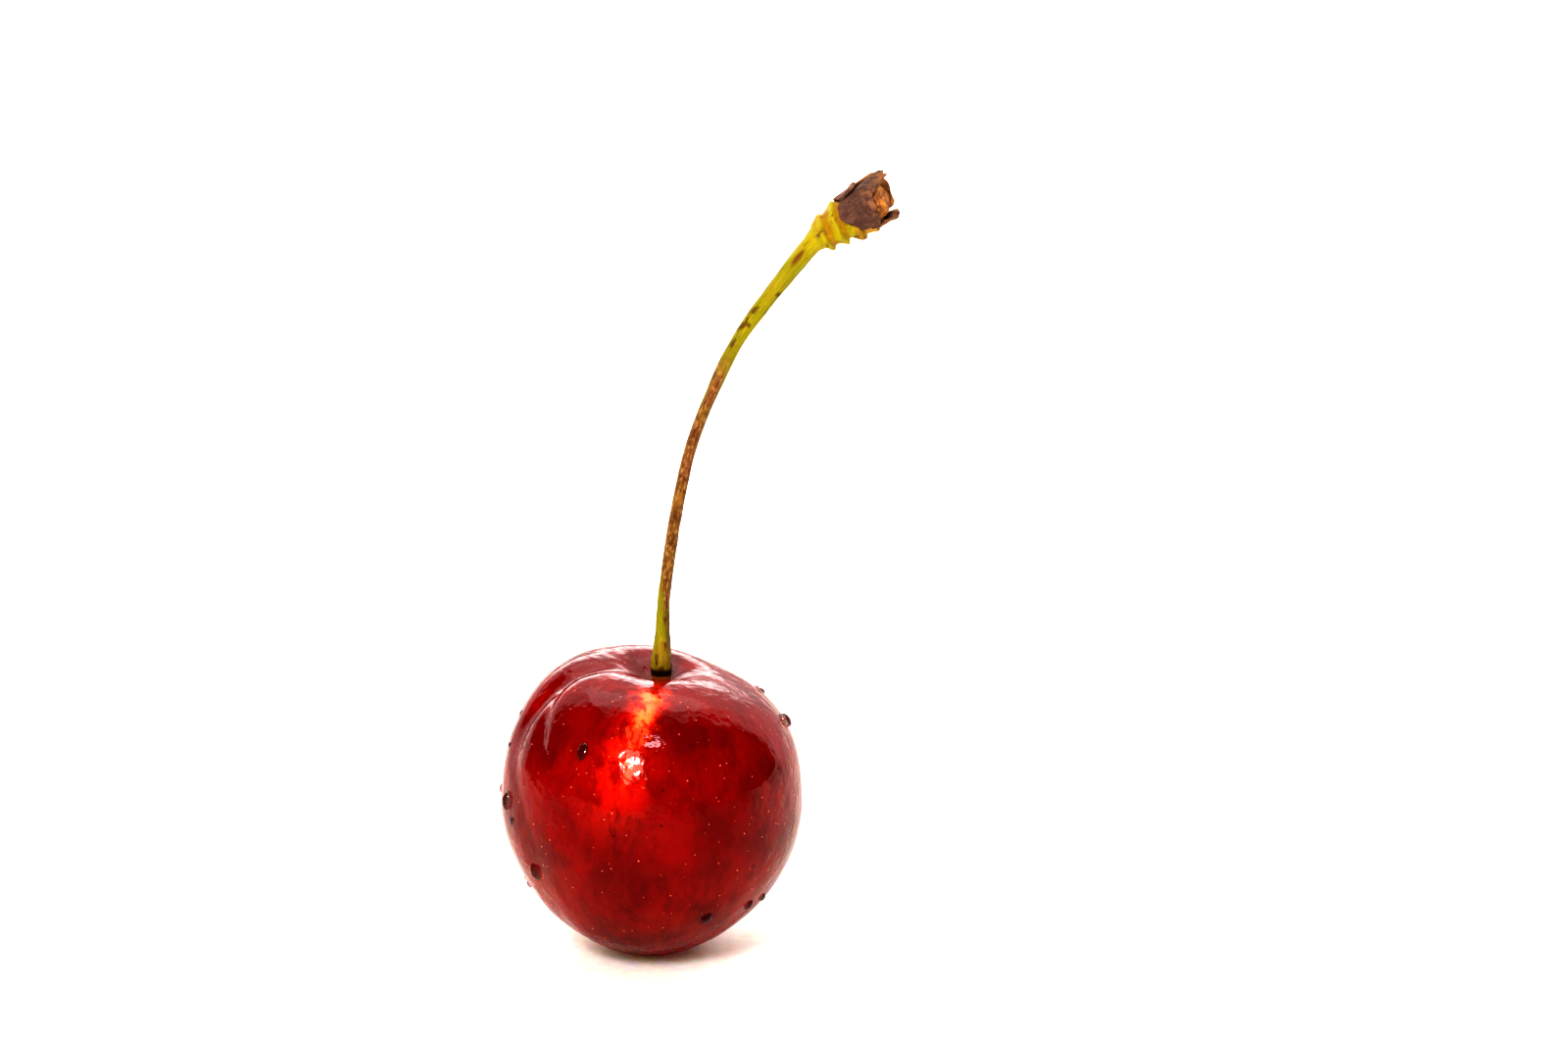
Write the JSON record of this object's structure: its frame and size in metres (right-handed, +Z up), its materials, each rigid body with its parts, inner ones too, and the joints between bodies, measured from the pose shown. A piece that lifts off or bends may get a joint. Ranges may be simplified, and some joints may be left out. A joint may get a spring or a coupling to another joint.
{
  "type": "sweet cherry on its stalk",
  "caption": "Ripe red sweet cherry standing on its blunt end, with a long bent stalk that ends in a ringed knuckle and dry brown bud scales.",
  "frame": {"origin": "middle of the small flat that the fruit rests on", "axes": "+Z up through the fruit to the stalk end; +X is the side that the stalk bends towards; -Y is the front"},
  "size_m": [0.0327, 0.0266, 0.0656],
  "materials": {
    "skin": "glossy deep red fruit skin with fine pale dots, darker blotches and an orange flush",
    "stalk": "matt fibrous green-yellow stalk, streaked red-brown along its middle",
    "cork": "rough matt brown cork",
    "scale": "dry wrinkled brown scale with tan edges",
    "water": "clear water drops on the skin"
  },
  "bodies": {
    "root": {"fruit": "skin", "stalk": "stalk", "corky_end": "cork", "bud_scale_1": "scale", "bud_scale_2": "scale", "bud_scale_3": "scale", "bud_scale_4": "scale", "bud_scale_5": "scale", "bud_scale_6": "scale"}
  },
  "joints": []
}
